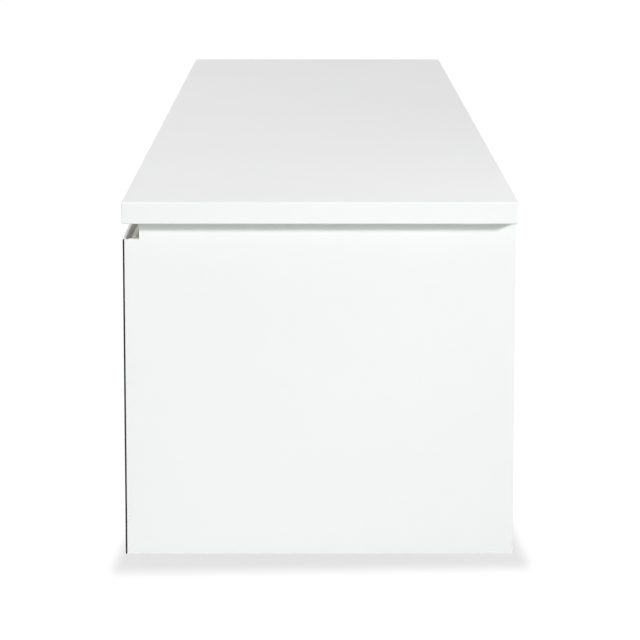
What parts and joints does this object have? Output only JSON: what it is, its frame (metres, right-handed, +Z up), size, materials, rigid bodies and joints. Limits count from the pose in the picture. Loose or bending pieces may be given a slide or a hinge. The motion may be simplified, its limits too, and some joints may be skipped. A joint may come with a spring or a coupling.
{
  "type": "floating sideboard",
  "caption": "Long low wall-hung sideboard with an overhanging top, mitred fronts with a finger gap, pull-out drawers and a drop-down centre flap.",
  "frame": {"origin": "middle of the wall rail's rear face at its screw line, on the wall", "axes": "+X along the cabinet to the right seen from the front, +Y into the wall, +Z up"},
  "size_m": [2.2, 0.453, 0.415],
  "materials": {
    "white_lacquer": "satin lacquer",
    "white_board": "matte melamine",
    "anodised_metal": "satin anodised",
    "zinced_steel": "zinc plated",
    "ash": "oiled",
    "dark_seal": "matte",
    "dark_plastic": "fine grain"
  },
  "bodies": {
    "carcass": {"top_panel": "white_lacquer", "end_panel_left": "white_lacquer", "end_panel_right": "white_lacquer", "bottom_panel": "white_board", "divider_left": "white_board", "divider_right": "white_board", "back_panel": "white_board", "grip_channel": "anodised_metal", "shelf": "white_board", "shelf_pins": "zinced_steel", "cable_grommet": "dark_plastic", "hanging_rail": "ash", "wall_rail": "ash", "carcass_screws": "zinced_steel", "cam_housings": "zinced_steel", "cam_bolts": "zinced_steel", "dowels": "ash", "left_drawer_cabinet_runner_left": "zinced_steel", "left_drawer_cabinet_runner_right": "zinced_steel", "right_drawer_cabinet_runner_left": "zinced_steel", "right_drawer_cabinet_runner_right": "zinced_steel", "flap_hinge_bases": "zinced_steel", "flap_hinge_pins": "zinced_steel", "flap_magnet": "dark_plastic"},
    "left_drawer": {"left_drawer_front": "white_lacquer", "left_drawer_grip_trim": "anodised_metal", "left_drawer_mitre_seal": "dark_seal", "left_drawer_side_left": "ash", "left_drawer_side_right": "ash", "left_drawer_back": "ash", "left_drawer_bottom": "ash", "left_drawer_screws": "zinced_steel", "left_drawer_inner_runner_left": "zinced_steel", "left_drawer_inner_runner_right": "zinced_steel"},
    "left_runner_middles": {"left_drawer_middle_runner_left": "zinced_steel", "left_drawer_middle_runner_right": "zinced_steel", "left_drawer_ball_cages": "zinced_steel"},
    "right_drawer": {"right_drawer_front": "white_lacquer", "right_drawer_grip_trim": "anodised_metal", "right_drawer_mitre_seal": "dark_seal", "right_drawer_side_left": "ash", "right_drawer_side_right": "ash", "right_drawer_back": "ash", "right_drawer_bottom": "ash", "right_drawer_screws": "zinced_steel", "right_drawer_inner_runner_left": "zinced_steel", "right_drawer_inner_runner_right": "zinced_steel"},
    "right_runner_middles": {"right_drawer_middle_runner_left": "zinced_steel", "right_drawer_middle_runner_right": "zinced_steel", "right_drawer_ball_cages": "zinced_steel"},
    "flap": {"flap_front": "white_lacquer", "flap_grip_trim": "anodised_metal", "flap_hinge_leaves": "zinced_steel", "flap_strike_plate": "zinced_steel", "flap_stay_brackets": "zinced_steel", "flap_screws": "zinced_steel"},
    "stay_rod_left": {"flap_stay_rod_left": "zinced_steel"},
    "stay_rod_right": {"flap_stay_rod_right": "zinced_steel"},
    "stay_guide_left": {"flap_stay_guide_left": "zinced_steel"},
    "stay_guide_right": {"flap_stay_guide_right": "zinced_steel"}
  },
  "joints": [
    {"name": "left_drawer_slide", "type": "slide", "parent": "carcass", "child": "left_drawer", "axis": [0, -1, 0], "range_m": [0, 0.35]},
    {"name": "left_runner_slide", "type": "slide", "parent": "carcass", "child": "left_runner_middles", "axis": [0, -1, 0], "range_m": [0, 0.175]},
    {"name": "right_drawer_slide", "type": "slide", "parent": "carcass", "child": "right_drawer", "axis": [0, -1, 0], "range_m": [0, 0.35]},
    {"name": "right_runner_slide", "type": "slide", "parent": "carcass", "child": "right_runner_middles", "axis": [0, -1, 0], "range_m": [0, 0.175]},
    {"name": "flap_hinge", "type": "hinge", "parent": "carcass", "child": "flap", "pos_m": [0, -0.4305, -0.293], "axis": [1, 0, 0], "range_deg": [0, 90]},
    {"name": "stay_rod_pivot_left", "type": "hinge", "parent": "flap", "child": "stay_rod_left", "pos_m": [0, -0.422, -0.1132], "axis": [1, 0, 0], "range_deg": [-45, 0]},
    {"name": "stay_guide_pivot_left", "type": "hinge", "parent": "carcass", "child": "stay_guide_left", "pos_m": [0, -0.32726, -0.14555], "axis": [1, 0, 0], "range_deg": [0, 45]},
    {"name": "stay_rod_pivot_right", "type": "hinge", "parent": "flap", "child": "stay_rod_right", "pos_m": [0, -0.422, -0.1132], "axis": [1, 0, 0], "range_deg": [-45, 0]},
    {"name": "stay_guide_pivot_right", "type": "hinge", "parent": "carcass", "child": "stay_guide_right", "pos_m": [0, -0.32726, -0.14555], "axis": [1, 0, 0], "range_deg": [0, 45]}
  ],
  "couplings": [
    {"joint": "left_runner_slide", "follows": "left_drawer_slide", "ratio": 0.5},
    {"joint": "right_runner_slide", "follows": "right_drawer_slide", "ratio": 0.5},
    {"joint": "stay_rod_pivot_left", "follows": "flap_hinge", "ratio": -0.5},
    {"joint": "stay_guide_pivot_left", "follows": "flap_hinge", "ratio": 0.5},
    {"joint": "stay_rod_pivot_right", "follows": "flap_hinge", "ratio": -0.5},
    {"joint": "stay_guide_pivot_right", "follows": "flap_hinge", "ratio": 0.5}
  ]
}
